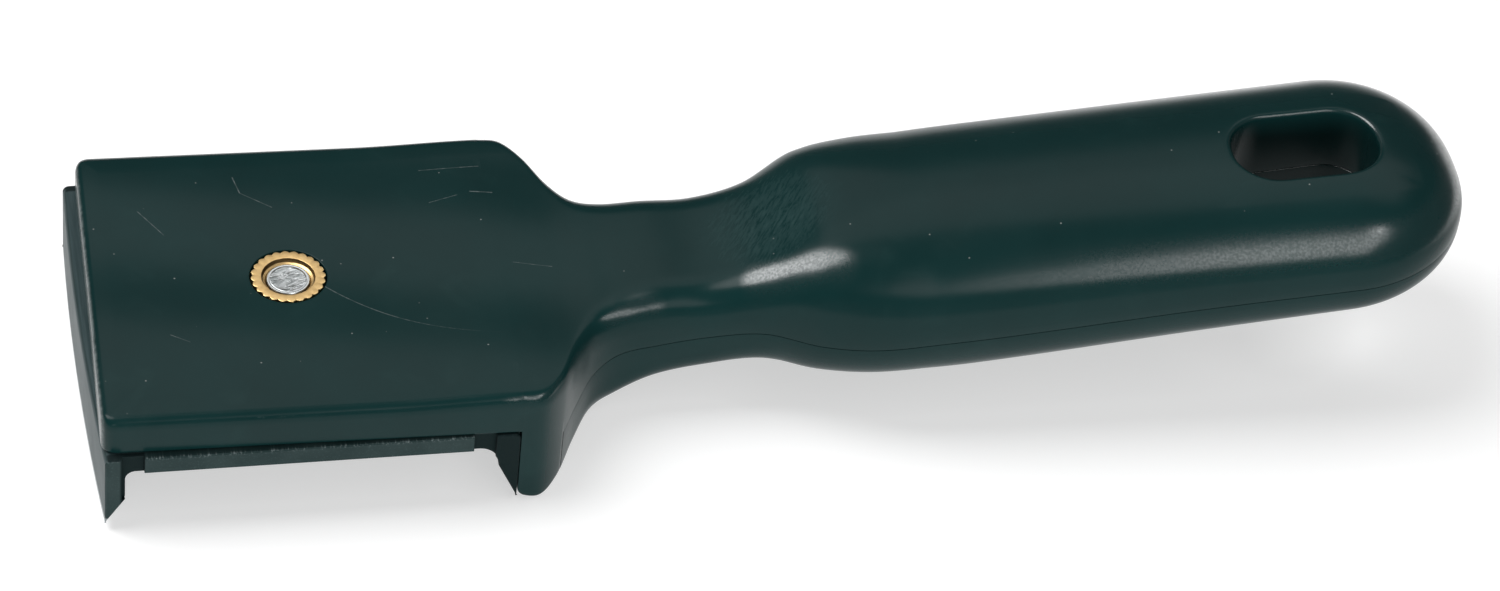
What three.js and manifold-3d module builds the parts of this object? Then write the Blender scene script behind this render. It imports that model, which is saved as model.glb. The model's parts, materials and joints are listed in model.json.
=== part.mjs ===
// Paint scraper with a two-edged reversible blade, clamped under the head by one screw.
// Millimetres, +Z up, +X from the blade towards the end of the grip. The pieces are drawn in the
// head's frame, with the screw's axis on z and the top of the head at z = 0, and the whole tool is
// then set down on its lowest point, the underside of the finger guard.

import * as THREE from 'three';
import { mergeVertices } from 'three/addons/utils/BufferGeometryUtils.js';
import Module from 'manifold-3d';

const wasm = await Module();
wasm.setup();

// Fits, how far a cut runs past a face, and a length beyond any piece's height
const JOINT_GAP = 0.2;
const MOULDED_GAP = 0.15;
const OVERRUN = 1;
const TALL = 60;

// Head plate
const HEAD_FRONT = -29.6;
const HEAD_HALF_WIDTH = 29.2;
const HEAD_THICKNESS = 6.2;
const HEAD_CORNER_RADIUS = 2.2;
const HEAD_EDGE_RADIUS = 1;
const HEAD_LOWER_EDGE_RADIUS = 0.4;
const HEAD_RISE_START = 12;
const HEAD_STEPS = [0, 0.3, 1, 2.2, 41.6, 48, 55];

// Finger guard behind the blade, and the plane where the lower moulding butts against it
const LUG_FRONT = 31.5;
const LUG_REAR = 38.5;

// Grip
const GRIP_END = 178.8;
const GRIP_CAP_LENGTH = 20;
const GRIP_CAP_POWER = 2.16;
const CAP_START = GRIP_END - GRIP_CAP_LENGTH;
const WALL = 3.2;
const HOLLOW_START = 54;

// Hanging slot through the grip
const SLOT_MIDDLE = 153.7;
const SLOT_LENGTH = 22.5;
const SLOT_WIDTH = 14;
const SLOT_CORNER = 6.5;
const SLEEVE_WALL = 2.4;

// Locating pegs between the two mouldings
const PEG_STATIONS = [92, 126];
const BOSS_RADIUS = 4.2;
const PEG_RADIUS = 2;
const PEG_ROOT = 2;
const PEG_REACH = 4;
const PEG_CLEARANCE = 0.35;
const SOCKET_SPARE = 1;
const BOSS_GAP = 0.8;

// Threaded insert
const INSERT_RADIUS = 5.6;
const INSERT_ROOT_RADIUS = 5.25;
const INSERT_TEETH = 24;
const INSERT_LENGTH = 6;
const INSERT_GROOVE_RADIUS = 4.7;
const INSERT_GROOVE = [-2.4, -3.8];
const INSERT_MOUTH_RADIUS = 4;
const INSERT_MOUTH_DEPTH = 0.9;
const INSERT_LEDGE_RADIUS = 3.86;
const INSERT_LEDGE_DEPTH = 0.62;

// M6 clamp screw, bored and drawn plain at its thread
const SCREW_RADIUS = 2.95;
const THREAD_BORE_RADIUS = 3.15;
const SCREW_TIP = -0.5;
const SCREW_TIP_CHAMFER = 0.15;
const SCREW_HEAD_RADIUS = 5;
const SCREW_HEAD_HEIGHT = 3.9;
const SCREW_HEAD_CHAMFER = 0.6;
const SCREW_SLOT_WIDTH = 1.6;
const SCREW_SLOT_DEPTH = 2;

// Washers
const WASHER_BORE_RADIUS = 3.2;
const PLAIN_WASHER_RADIUS = 9;
const PLAIN_WASHER_THICKNESS = 1.6;
const SPRING_WASHER_RADIUS = 5.9;
const SPRING_WASHER_THICKNESS = 1.6;
const SPRING_WASHER_SPLIT = 0.8;
const SPRING_WASHER_SPLIT_TILT = THREE.MathUtils.degToRad(25);

// Blade, bent from one sheet. The inner bend and the bevel change along each lip by the given amounts.
const SHEET = 3;
const BLADE_HALF_WIDTH = 30;
const BLADE_HALF_LENGTH = 30.1;
const EDGE_BOW = 1;
const EDGE_SLANT = 0.4;
const BEND_INNER_RADIUS = 2.25;
const BEND_INNER_CHANGE = 0.75;
const BEND_OUTER_RADIUS = 1;
const BEVEL_START = 7;
const BEVEL_START_CHANGE = -0.9;
const LIP_DEPTH = 12.55;
const NOTCH_START = 24;
const NOTCH_DEPTH = 0.7;
const BLADE_HOLE_RADIUS = 3.3;
const BLADE_SKEW = THREE.MathUtils.degToRad(1);

// Heights of the clamped stack, from the head downwards
const BLADE_TOP = -HEAD_THICKNESS - MOULDED_GAP;
const PLAIN_WASHER_TOP = BLADE_TOP - SHEET - MOULDED_GAP;
const SPRING_WASHER_TOP = PLAIN_WASHER_TOP - PLAIN_WASHER_THICKNESS - MOULDED_GAP;
const SCREW_HEAD_TOP = SPRING_WASHER_TOP - SPRING_WASHER_THICKNESS - MOULDED_GAP;
const CUTTING_EDGE = BLADE_TOP - LIP_DEPTH;

// Sections of the handle behind the blade. At each station along x: half width, height of the top, of
// the parting line and of the underside, and the radius that rounds the upper and the lower edges.
// Where the radius is as large as the half width, the section is an oval.
const HANDLE_SECTIONS = [
  { x: 31.5, half: 29.2, top: 0.6, part: -11.5, under: -19.4, upper: 1, lower: 0.8 },
  { x: 35, half: 28.7, top: 0.4, part: -11.5, under: -20.1, upper: 2.2, lower: 0.8 },
  { x: 38, half: 25.3, top: 0.2, part: -11.5, under: -19.8, upper: 2.5, lower: 1.4 },
  { x: 41, half: 19.8, top: 0.1, part: -10.6, under: -18.4, upper: 2.8, lower: 2 },
  { x: 44, half: 15.8, top: 0.7, part: -8.4, under: -17.1, upper: 2.6, lower: 3.8 },
  { x: 48, half: 13.7, top: 1.9, part: -6.5, under: -16.1, upper: 2.8, lower: 4.2 },
  { x: 54, half: 13.1, top: 2.9, part: -5.5, under: -13.5, upper: 3.4, lower: 4.5 },
  { x: 62, half: 13.2, top: 3.2, part: -4.2, under: -11.9, upper: 4.5, lower: 5 },
  { x: 70, half: 14.2, top: 5.5, part: -3.2, under: -11.3, upper: 7, lower: 7 },
  { x: 78, half: 18.2, top: 10, part: -2.6, under: -11.7, upper: 12, lower: 11 },
  { x: 86, half: 20.2, top: 11.9, part: -2, under: -12.6, upper: 17, lower: 17 },
  { x: 96, half: 20.8, top: 13, part: -0.8, under: -12.5, upper: 20.8, lower: 20.8 },
  { x: 108, half: 21, top: 14.1, part: 0.6, under: -11.1, upper: 21, lower: 21 },
  { x: 135, half: 21.2, top: 16.4, part: 4.1, under: -7.2, upper: 21.2, lower: 21.2 },
  { x: 160, half: 21.6, top: 18.3, part: 7, under: -3.5, upper: 21.6, lower: 21.6 },
];
const SECTION_KEYS = ['half', 'top', 'part', 'under', 'upper', 'lower'];
const EDGE_POWER = 2.4;
const FULLEST_EDGE = 0.98;

// Fineness of the facets. A stretch of the handle is its first and last station and how many it has.
const GRIP_STRETCHES = [[40, 64, 9], [67, 100, 10], [106, CAP_START, 6]];
const GUARD_STATIONS = 6;
const EDGE_STEPS = 6;
const CAP_STEPS = 6;
const CAP_BLUNTNESS = 0.3;
const HOLLOW_STEPS = 14;
const HOLLOW_CAP_STEPS = 4;
const ROUND_STEPS = 32;
const BORE_STEPS = 20;
const CORNER_STEPS = 6;
const BEND_STEPS = 4;
const LIP_STATIONS = 8;
const STEP_APART = 0.01;

const PLASTIC = { color: 0x10201f, roughness: 0.32, metalness: 0 };
const BRASS = { color: 0xb8873a, roughness: 0.35, metalness: 1 };
const ZINC = { color: 0xc9ccd0, roughness: 0.3, metalness: 1 };
const BLADE_STEEL = { color: 0x4a5054, roughness: 0.45, metalness: 1 };

// A solid for joining and cutting, from a closed three.js geometry
function solid(geometry) {
  const bare = geometry.clone();
  bare.deleteAttribute('normal');
  bare.deleteAttribute('uv');
  const merged = mergeVertices(bare, 1e-4);
  return new wasm.Manifold(new wasm.Mesh({
    numProp: 3,
    vertProperties: new Float32Array(merged.attributes.position.array),
    triVerts: new Uint32Array(merged.index.array),
  }));
}

function geometryOf(body) {
  const mesh = body.getMesh();
  const geometry = new THREE.BufferGeometry();
  geometry.setAttribute('position', new THREE.BufferAttribute(mesh.vertProperties, 3));
  geometry.setIndex(new THREE.BufferAttribute(mesh.triVerts, 1));
  geometry.computeVertexNormals();
  return geometry;
}

function piece(name, body, finish) {
  const mesh = new THREE.Mesh(geometryOf(body), new THREE.MeshStandardMaterial(finish));
  mesh.name = name;
  return mesh;
}

// Skins a row of closed sections, each a ring of an even number of points. The two ends are closed by
// strips between the first half of the ring and the second half read backwards.
function skin(sections) {
  const count = sections[0].length;
  const triangles = [];
  for (let i = 0; i + 1 < sections.length; i += 1) {
    for (let j = 0; j < count; j += 1) {
      const [a, b] = [i * count + j, i * count + ((j + 1) % count)];
      triangles.push(a, b, b + count, a, b + count, a + count);
    }
  }
  const lastRow = (sections.length - 1) * count;
  for (let i = 0; i + 1 < count / 2; i += 1) {
    const [a, b, c, d] = [i, i + 1, count - 2 - i, count - 1 - i];
    triangles.push(a, d, b, b, d, c);
    triangles.push(lastRow + a, lastRow + b, lastRow + d, lastRow + b, lastRow + c, lastRow + d);
  }
  const geometry = new THREE.BufferGeometry().setFromPoints(sections.flat());
  geometry.setIndex(triangles);
  return geometry;
}

// Smooth curve through the handle's stations: a cubic between neighbours, with the mean slope at each
// station, and a straight line past the last one
function sectionAt(x) {
  const rows = HANDLE_SECTIONS;
  const last = rows.length - 1;
  const slope = (key, k) => {
    const [a, b] = [rows[Math.max(k - 1, 0)], rows[Math.min(k + 1, last)]];
    return (b[key] - a[key]) / (b.x - a.x);
  };
  const section = { x };
  if (x >= rows[last].x) {
    for (const key of SECTION_KEYS) {
      section[key] = rows[last][key] + (x - rows[last].x) * slope(key, last);
    }
    return section;
  }
  const i = rows.findIndex((row) => row.x > x) - 1;
  const [p, q] = [rows[i], rows[i + 1]];
  const width = q.x - p.x;
  const t = (x - p.x) / width;
  for (const key of SECTION_KEYS) {
    section[key] = p[key] * (1 - t) ** 2 * (1 + 2 * t) + q[key] * t ** 2 * (3 - 2 * t)
      + width * t * (1 - t) * (slope(key, i) * (1 - t) - slope(key, i + 1) * t);
  }
  return section;
}

// The plate in front of the guard, with its rounded front corners and front edge
function headSectionAt(x) {
  const fromFront = x - HEAD_FRONT;
  const quarter = (radius) => radius - Math.sqrt(radius ** 2 - Math.max(radius - fromFront, 0) ** 2);
  const guard = HANDLE_SECTIONS[0];
  const rise = guard.top * THREE.MathUtils.smoothstep(x, HEAD_RISE_START, guard.x);
  return {
    x,
    half: HEAD_HALF_WIDTH - quarter(HEAD_CORNER_RADIUS),
    top: rise - quarter(HEAD_EDGE_RADIUS),
    part: -HEAD_THICKNESS / 2,
    under: -HEAD_THICKNESS,
    upper: HEAD_EDGE_RADIUS,
    lower: HEAD_LOWER_EDGE_RADIUS,
  };
}

// Half of a section, as places across and heights from the parting line: a wall on one side, its rounded
// edge, a flat and the other side's edge. A half with no height is a straight row of as many points.
function halfSection(half, height, radius) {
  if (height === 0) {
    const count = 2 * EDGE_STEPS + 3;
    return Array.from({ length: count }, (_, i) => [half * (1 - (2 * i) / count), 0]);
  }
  const across = Math.min(radius, FULLEST_EDGE * half);
  const along = Math.min(radius, FULLEST_EDGE * Math.abs(height));
  const edge = [];
  for (let i = 0; i <= EDGE_STEPS; i += 1) {
    const angle = (i / EDGE_STEPS) * (Math.PI / 2);
    const inwards = across * (1 - Math.cos(angle) ** (2 / EDGE_POWER));
    const short = along * (1 - Math.sin(angle) ** (2 / EDGE_POWER));
    edge.push([half - inwards, Math.sign(height) * (Math.abs(height) - short)]);
  }
  return [[half, 0], ...edge, ...edge.map(([y, z]) => [-y, z]).reverse()];
}

// Closed section of the handle, anticlockwise as seen from the end of the grip
function sectionPoints({ x, half, top, part, under, upper, lower }, upperRise, lowerDrop) {
  const above = halfSection(half, (top - part) * upperRise, upper);
  const below = halfSection(half, (under - part) * lowerDrop, lower);
  return [
    ...above.map(([y, z]) => new THREE.Vector3(x, y, part + z)),
    ...below.map(([y, z]) => new THREE.Vector3(x, -y, part + z)),
  ];
}

// Sections closing the round end of the grip, shrinking towards the parting line
function capRows(start, steps) {
  return Array.from({ length: steps }, (_, i) => {
    const angle = ((i + 1) / (steps + CAP_BLUNTNESS)) * (Math.PI / 2);
    const shrink = Math.cos(angle) ** (2 / GRIP_CAP_POWER);
    const row = sectionAt(start + GRIP_CAP_LENGTH * Math.sin(angle));
    const { part } = row;
    return {
      ...row,
      half: row.half * shrink,
      top: part + (row.top - part) * shrink,
      under: part + (row.under - part) * shrink,
      upper: row.upper * shrink,
      lower: row.lower * shrink,
    };
  });
}

function stations(from, to, count) {
  return Array.from({ length: count }, (_, i) => from + ((to - from) * i) / (count - 1));
}

function gripRows(front) {
  const along = [front, ...GRIP_STRETCHES.flatMap(([from, to, count]) => stations(from, to, count))];
  return [...along.map(sectionAt), ...capRows(CAP_START, CAP_STEPS)];
}

function upperOutside() {
  const head = [...HEAD_STEPS.map((step) => HEAD_FRONT + step), LUG_FRONT].map(headSectionAt);
  const guard = stations(LUG_FRONT + STEP_APART, LUG_REAR, GUARD_STATIONS).map(sectionAt);
  return solid(skin([
    ...head.map((row) => sectionPoints(row, 1, 1)),
    ...guard.map((row) => sectionPoints(row, 1, 1)),
    ...gripRows(LUG_REAR + STEP_APART).map((row) => sectionPoints(row, 1, 0)),
  ]));
}

function lowerOutside() {
  const rows = gripRows(LUG_REAR + JOINT_GAP);
  const body = solid(skin(rows.map((row) => sectionPoints(row, 0, 1))));
  return body.translate([0, 0, -JOINT_GAP]);
}

// Hollow of one moulding: the outside moved in by the wall, and run on a little past the parting line
function hollow(above) {
  const end = CAP_START - WALL;
  const straight = stations(HOLLOW_START, end, HOLLOW_STEPS).map(sectionAt);
  const rows = [...straight, ...capRows(end, HOLLOW_CAP_STEPS)];
  return solid(skin(rows.map((row) => {
    const { part } = row;
    const inner = {
      ...row,
      half: Math.max(row.half - WALL, OVERRUN),
      top: above ? Math.max(row.top - WALL, part + OVERRUN) : part + OVERRUN,
      under: above ? part - OVERRUN : Math.min(row.under + WALL, part - OVERRUN),
      upper: above ? Math.max(row.upper - WALL, OVERRUN) : OVERRUN,
      lower: above ? OVERRUN : Math.max(row.lower - WALL, OVERRUN),
    };
    return sectionPoints(inner, 1, 1);
  })));
}

function cylinder(radius, bottom, top, x, steps) {
  const geometry = new THREE.CylinderGeometry(radius, radius, top - bottom, steps);
  geometry.rotateX(Math.PI / 2);
  geometry.translate(x, 0, (top + bottom) / 2);
  return solid(geometry);
}

// Upright bar with the hanging slot's outline, grown outwards on all sides
function slotBar(grow, bottom, top) {
  const [w, h] = [SLOT_LENGTH / 2 + grow, SLOT_WIDTH / 2 + grow];
  const r = SLOT_CORNER + grow;
  const outline = new THREE.Shape();
  outline.absarc(w - r, h - r, r, 0, Math.PI / 2);
  outline.absarc(r - w, h - r, r, Math.PI / 2, Math.PI);
  outline.absarc(r - w, r - h, r, Math.PI, 1.5 * Math.PI);
  outline.absarc(w - r, r - h, r, 1.5 * Math.PI, 2 * Math.PI);
  const geometry = new THREE.ExtrudeGeometry(outline, {
    depth: top - bottom,
    bevelEnabled: false,
    curveSegments: CORNER_STEPS,
  });
  geometry.translate(SLOT_MIDDLE, 0, bottom);
  return solid(geometry);
}

// Round body from half outlines of radius and height
function lathe(outline, steps) {
  const geometry = new THREE.LatheGeometry(outline.map(([r, z]) => new THREE.Vector2(r, z)), steps);
  geometry.rotateX(Math.PI / 2);
  return solid(geometry);
}

// The insert's outside, with the groove that the plastic holds, grown by the given amount
function insertOutline(radius, grow) {
  const [grooveTop, grooveBottom] = INSERT_GROOVE;
  const slope = radius - INSERT_GROOVE_RADIUS;
  return [
    [0, grow],
    [radius + grow, grow],
    [radius + grow, grooveTop + slope / 2 - grow],
    [INSERT_GROOVE_RADIUS + grow, grooveTop - grow],
    [INSERT_GROOVE_RADIUS + grow, grooveBottom + grow],
    [radius + grow, grooveBottom - slope / 2 + grow],
    [radius + grow, -INSERT_LENGTH - grow],
    [0, -INSERT_LENGTH - grow],
  ].reverse();
}

function handleUpperShell() {
  let kept = slotBar(SLEEVE_WALL, -TALL, TALL);
  const pegs = [];
  for (const x of PEG_STATIONS) {
    const part = sectionAt(x).part;
    kept = kept.add(cylinder(BOSS_RADIUS, part + BOSS_GAP, TALL, x, BORE_STEPS));
    pegs.push(cylinder(PEG_RADIUS, part - PEG_REACH, part + PEG_ROOT, x, BORE_STEPS));
  }
  const insertHole = lathe(insertOutline(INSERT_RADIUS, MOULDED_GAP), 2 * INSERT_TEETH);
  const screwHole = cylinder(THREAD_BORE_RADIUS + MOULDED_GAP, -TALL, 0, 0, ROUND_STEPS);
  let body = upperOutside().subtract(hollow(true).subtract(kept));
  for (const peg of pegs) {
    body = body.add(peg);
  }
  const openTop = cylinder(INSERT_RADIUS + MOULDED_GAP, -OVERRUN, TALL, 0, 2 * INSERT_TEETH);
  body = body.subtract(insertHole).subtract(openTop).subtract(screwHole);
  return body.subtract(slotBar(0, -TALL, TALL));
}

function handleLowerShell() {
  let kept = slotBar(SLEEVE_WALL, -TALL, TALL);
  const sockets = [];
  for (const x of PEG_STATIONS) {
    const part = sectionAt(x).part;
    kept = kept.add(cylinder(BOSS_RADIUS, -TALL, part - BOSS_GAP, x, BORE_STEPS));
    const bottom = part - PEG_REACH - SOCKET_SPARE;
    sockets.push(cylinder(PEG_RADIUS + PEG_CLEARANCE, bottom, TALL, x, BORE_STEPS));
  }
  let body = lowerOutside().subtract(hollow(false).translate([0, 0, -JOINT_GAP]).subtract(kept));
  for (const socket of sockets) {
    body = body.subtract(socket);
  }
  return body.subtract(slotBar(0, -TALL, TALL));
}

// Knurled barrel: a toothed outline extruded, grooved, then bored with a wide mouth and a ledge in it
function threadedInsert() {
  const outline = [];
  for (let i = 0; i < 2 * INSERT_TEETH; i += 1) {
    const angle = (i * Math.PI) / INSERT_TEETH;
    const radius = i % 2 === 0 ? INSERT_RADIUS : INSERT_ROOT_RADIUS;
    outline.push(new THREE.Vector2(radius * Math.cos(angle), radius * Math.sin(angle)));
  }
  const barrel = new THREE.ExtrudeGeometry(new THREE.Shape(outline), {
    depth: INSERT_LENGTH,
    bevelEnabled: false,
  });
  barrel.translate(0, 0, -INSERT_LENGTH);
  const grooved = solid(barrel).intersect(lathe(insertOutline(INSERT_RADIUS, 0), 2 * INSERT_TEETH));
  const bore = lathe([
    [0, -INSERT_LENGTH - OVERRUN],
    [THREAD_BORE_RADIUS, -INSERT_LENGTH - OVERRUN],
    [THREAD_BORE_RADIUS, -INSERT_MOUTH_DEPTH],
    [INSERT_LEDGE_RADIUS, -INSERT_LEDGE_DEPTH],
    [INSERT_MOUTH_RADIUS, 0],
    [INSERT_MOUTH_RADIUS, OVERRUN],
    [0, OVERRUN],
  ], ROUND_STEPS);
  return grooved.subtract(bore);
}

function clampScrew() {
  const headBottom = SCREW_HEAD_TOP - SCREW_HEAD_HEIGHT;
  const shank = lathe([
    [0, headBottom],
    [SCREW_HEAD_RADIUS - SCREW_HEAD_CHAMFER, headBottom],
    [SCREW_HEAD_RADIUS, headBottom + SCREW_HEAD_CHAMFER],
    [SCREW_HEAD_RADIUS, SCREW_HEAD_TOP],
    [SCREW_RADIUS, SCREW_HEAD_TOP],
    [SCREW_RADIUS, SCREW_TIP - SCREW_TIP_CHAMFER],
    [SCREW_RADIUS - SCREW_TIP_CHAMFER, SCREW_TIP],
    [0, SCREW_TIP],
  ], ROUND_STEPS);
  const slot = new THREE.BoxGeometry(3 * SCREW_HEAD_RADIUS, SCREW_SLOT_WIDTH, 2 * SCREW_SLOT_DEPTH);
  slot.translate(0, 0, headBottom);
  return shank.subtract(solid(slot));
}

function ring(outer, inner, top, thickness) {
  return lathe([
    [inner, top - thickness],
    [outer, top - thickness],
    [outer, top],
    [inner, top],
    [inner, top - thickness],
  ], ROUND_STEPS);
}

function springWasher() {
  const coil = ring(SPRING_WASHER_RADIUS, WASHER_BORE_RADIUS, SPRING_WASHER_TOP, SPRING_WASHER_THICKNESS);
  const length = 2 * SPRING_WASHER_RADIUS;
  const split = new THREE.BoxGeometry(length, SPRING_WASHER_SPLIT, length);
  split.rotateX(SPRING_WASHER_SPLIT_TILT);
  split.translate(length / 2, 0, SPRING_WASHER_TOP - SPRING_WASHER_THICKNESS / 2);
  return coil.subtract(solid(split));
}

// One lip's section at a place across it from -1 to 1, from the plate round the bend to the cutting
// edge, as the outer and the inner face of the sheet. The two lips are alike when the blade is turned
// end for end.
function lipSection(t) {
  const reach = BLADE_HALF_LENGTH + EDGE_BOW * (1 - t ** 2) + EDGE_SLANT * t;
  const innerRadius = BEND_INNER_RADIUS + BEND_INNER_CHANGE * t;
  const faces = { outer: [], inner: [] };
  for (let i = 0; i <= BEND_STEPS; i += 1) {
    const angle = (i / BEND_STEPS) * (Math.PI / 2);
    const [out, down] = [1 - Math.sin(angle), 1 - Math.cos(angle)];
    faces.outer.push([reach - BEND_OUTER_RADIUS * out, -BEND_OUTER_RADIUS * down]);
    faces.inner.push([reach - SHEET - innerRadius * out, -SHEET - innerRadius * down]);
  }
  faces.outer.push([reach, -LIP_DEPTH]);
  faces.inner.push([reach - SHEET, -BEVEL_START - BEVEL_START_CHANGE * t]);
  return faces;
}

// Bent sheet with bowed lips, a relief notch beside each bend and a hole for the screw
function blade() {
  const mirrored = (face) => face.map(([x, z]) => [-x, z]).reverse();
  const sections = stations(-1, 1, LIP_STATIONS + 1).map((t) => {
    const front = lipSection(t);
    const rear = lipSection(-t);
    const under = [...mirrored(front.inner), ...rear.inner].reverse();
    const ring = [...mirrored(front.outer), ...rear.outer, ...under];
    return ring.map(([x, z]) => new THREE.Vector3(x, t * BLADE_HALF_WIDTH, BLADE_TOP + z));
  });
  let body = solid(skin(sections));
  const notchLength = BLADE_HALF_LENGTH - SHEET - NOTCH_START;
  for (const [alongX, alongY] of [[1, 1], [1, -1], [-1, 1], [-1, -1]]) {
    const notch = new THREE.BoxGeometry(notchLength, 2 * NOTCH_DEPTH, 3 * SHEET);
    notch.translate(alongX * (NOTCH_START + notchLength / 2), alongY * BLADE_HALF_WIDTH, BLADE_TOP);
    body = body.subtract(solid(notch));
  }
  return body.subtract(cylinder(BLADE_HOLE_RADIUS, -TALL, TALL, 0, ROUND_STEPS));
}

const tool = new THREE.Group();
tool.add(piece('handle_upper_shell', handleUpperShell(), PLASTIC));
tool.add(piece('handle_lower_shell', handleLowerShell(), PLASTIC));
tool.add(piece('threaded_insert', threadedInsert(), BRASS));
tool.add(piece('clamp_screw', clampScrew(), ZINC));
tool.add(piece('spring_washer', springWasher(), ZINC));
const plainWasher = ring(PLAIN_WASHER_RADIUS, WASHER_BORE_RADIUS, PLAIN_WASHER_TOP, PLAIN_WASHER_THICKNESS);
tool.add(piece('plain_washer', plainWasher, ZINC));
const bladeMesh = piece('blade', blade(), BLADE_STEEL);
bladeMesh.rotation.z = BLADE_SKEW;
tool.add(bladeMesh);

// Origin under the middle of the tool, at the height of its lowest point
const extent = new THREE.Box3().setFromObject(tool, true);
tool.position.set(-(extent.min.x + extent.max.x) / 2, 0, -extent.min.z);

export default tool;
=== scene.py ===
# %% [markdown]
# # A paint scraper with a two-edged blade
# The tool has a flat square head of dark plastic, a steel blade bent down at both ends and clamped
# under the head by one screw, a finger guard, a narrow neck and a wide oval grip with a hanging slot.
# The imported model gives every piece its place. We load it first; the finished pieces fill the same
# space. The finished pieces have to fill the same space.

# %% Load the imported model
import json
import math

import bmesh
import bpy
import numpy as np
from mathutils import Matrix, Vector

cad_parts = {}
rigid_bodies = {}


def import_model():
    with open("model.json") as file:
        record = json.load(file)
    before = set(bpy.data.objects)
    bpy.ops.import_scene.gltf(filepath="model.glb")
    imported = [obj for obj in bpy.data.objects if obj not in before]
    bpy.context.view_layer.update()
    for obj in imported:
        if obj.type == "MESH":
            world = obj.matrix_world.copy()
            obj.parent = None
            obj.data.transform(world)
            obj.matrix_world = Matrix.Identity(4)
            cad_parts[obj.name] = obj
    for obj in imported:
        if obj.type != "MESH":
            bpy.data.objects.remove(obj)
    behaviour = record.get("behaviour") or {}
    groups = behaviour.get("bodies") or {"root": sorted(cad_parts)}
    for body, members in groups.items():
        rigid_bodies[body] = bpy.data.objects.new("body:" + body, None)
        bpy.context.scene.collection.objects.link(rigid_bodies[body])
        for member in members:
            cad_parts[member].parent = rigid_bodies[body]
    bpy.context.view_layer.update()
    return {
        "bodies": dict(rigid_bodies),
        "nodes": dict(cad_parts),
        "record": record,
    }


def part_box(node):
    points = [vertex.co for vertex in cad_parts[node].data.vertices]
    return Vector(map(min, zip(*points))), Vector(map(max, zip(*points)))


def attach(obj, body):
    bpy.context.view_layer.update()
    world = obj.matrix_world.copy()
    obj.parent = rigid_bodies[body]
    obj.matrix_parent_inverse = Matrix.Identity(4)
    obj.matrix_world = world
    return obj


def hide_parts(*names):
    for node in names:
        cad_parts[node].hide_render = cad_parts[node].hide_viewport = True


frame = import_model()
print("bodies:", ", ".join(frame["bodies"]), "- nodes:", ", ".join(frame["nodes"]))

# %% [markdown]
# Drawing is easiest in millimetres from one landmark of the tool. We take the point where the screw's
# axis meets the top of the head. The brass insert is round that axis and flush with that face, so its
# box gives the landmark, and one small function turns our millimetres into the model's metres.

# %% The landmark on the head
MM = 0.001
insert_low, insert_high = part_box("threaded_insert")
HEAD_MARK = np.array(((insert_low.x + insert_high.x) / 2, 0.0, insert_high.z))


def in_metres(points):
    return HEAD_MARK + MM * np.asarray(points, dtype=float)


print("head mark (m):", HEAD_MARK.round(5))

# %% [markdown]
# The camera looks down on the tool from its left side, a little ahead of the blade, through a long lens.
# It is also rolled a few degrees, so the handle climbs to the right. We build its axes from those three
# angles and set them as the columns of its matrix, which is more exact than pointing it with a helper.

# %% Camera
VIEW_AZIMUTH = math.radians(-14.141)
VIEW_ELEVATION = math.radians(42.443)
VIEW_ROLL = math.radians(6.88)
VIEW_TARGET = (68.15, -8.98, 0.0)
VIEW_DISTANCE = 746.9

level = math.cos(VIEW_ELEVATION)
towards = Vector((
    math.sin(VIEW_AZIMUTH) * level, -math.cos(VIEW_AZIMUTH) * level, math.sin(VIEW_ELEVATION)))
flat_right = Vector((math.cos(VIEW_AZIMUTH), math.sin(VIEW_AZIMUTH), 0.0))
flat_up = towards.cross(flat_right)
right = math.cos(VIEW_ROLL) * flat_right + math.sin(VIEW_ROLL) * flat_up
up = math.cos(VIEW_ROLL) * flat_up - math.sin(VIEW_ROLL) * flat_right
camera = bpy.data.objects.new("camera", bpy.data.cameras.new("camera"))
camera.data.sensor_width = 36
camera.data.lens = 120
camera.data.clip_start = 0.01
place = Vector(in_metres(VIEW_TARGET)) + MM * VIEW_DISTANCE * towards
camera.matrix_world = Matrix.Translation(place) @ Matrix((right, up, towards)).transposed().to_4x4()
bpy.context.scene.collection.objects.link(camera)
bpy.context.scene.camera = camera
print("camera at", tuple(round(c, 4) for c in place))

# %% [markdown]
# Every finish below is a small network of shader nodes. Written node by node it would fill pages, so a
# class wraps a socket and lets Python's own operators add the Math nodes.

# %% Shader expressions
class Level:
    def __init__(self, finish, socket):
        self.finish = finish
        self.socket = socket

    def math(self, operation, *others, clamp=False):
        values = dict(enumerate((self, *others)))
        return self.finish.node("ShaderNodeMath", {"operation": operation, "use_clamp": clamp}, values)

    def __add__(self, other):
        return self.math("ADD", other)

    def __sub__(self, other):
        return self.math("SUBTRACT", other)

    def __rsub__(self, other):
        return self.finish.node("ShaderNodeMath", {"operation": "SUBTRACT"}, {0: other, 1: self})

    def __mul__(self, other):
        return self.math("MULTIPLY", other)

    def __abs__(self):
        return self.math("ABSOLUTE")

    __radd__ = __add__
    __rmul__ = __mul__

    def between(self, low, high):
        sockets = {"Value": self, "From Min": low, "From Max": high}
        return self.finish.node("ShaderNodeMapRange", {"interpolation_type": "SMOOTHSTEP"}, sockets)

    def most(self, other):
        return self.math("MAXIMUM", other)


print("operators for sockets ready")

# %% [markdown]
# A second class owns a material. It has one method for every other kind of node: its type, its settings,
# then its sockets. The short methods after it give names to the nodes that our finishes use again and
# again, and one of them measures places on the tool in millimetres from the head mark.

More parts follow.
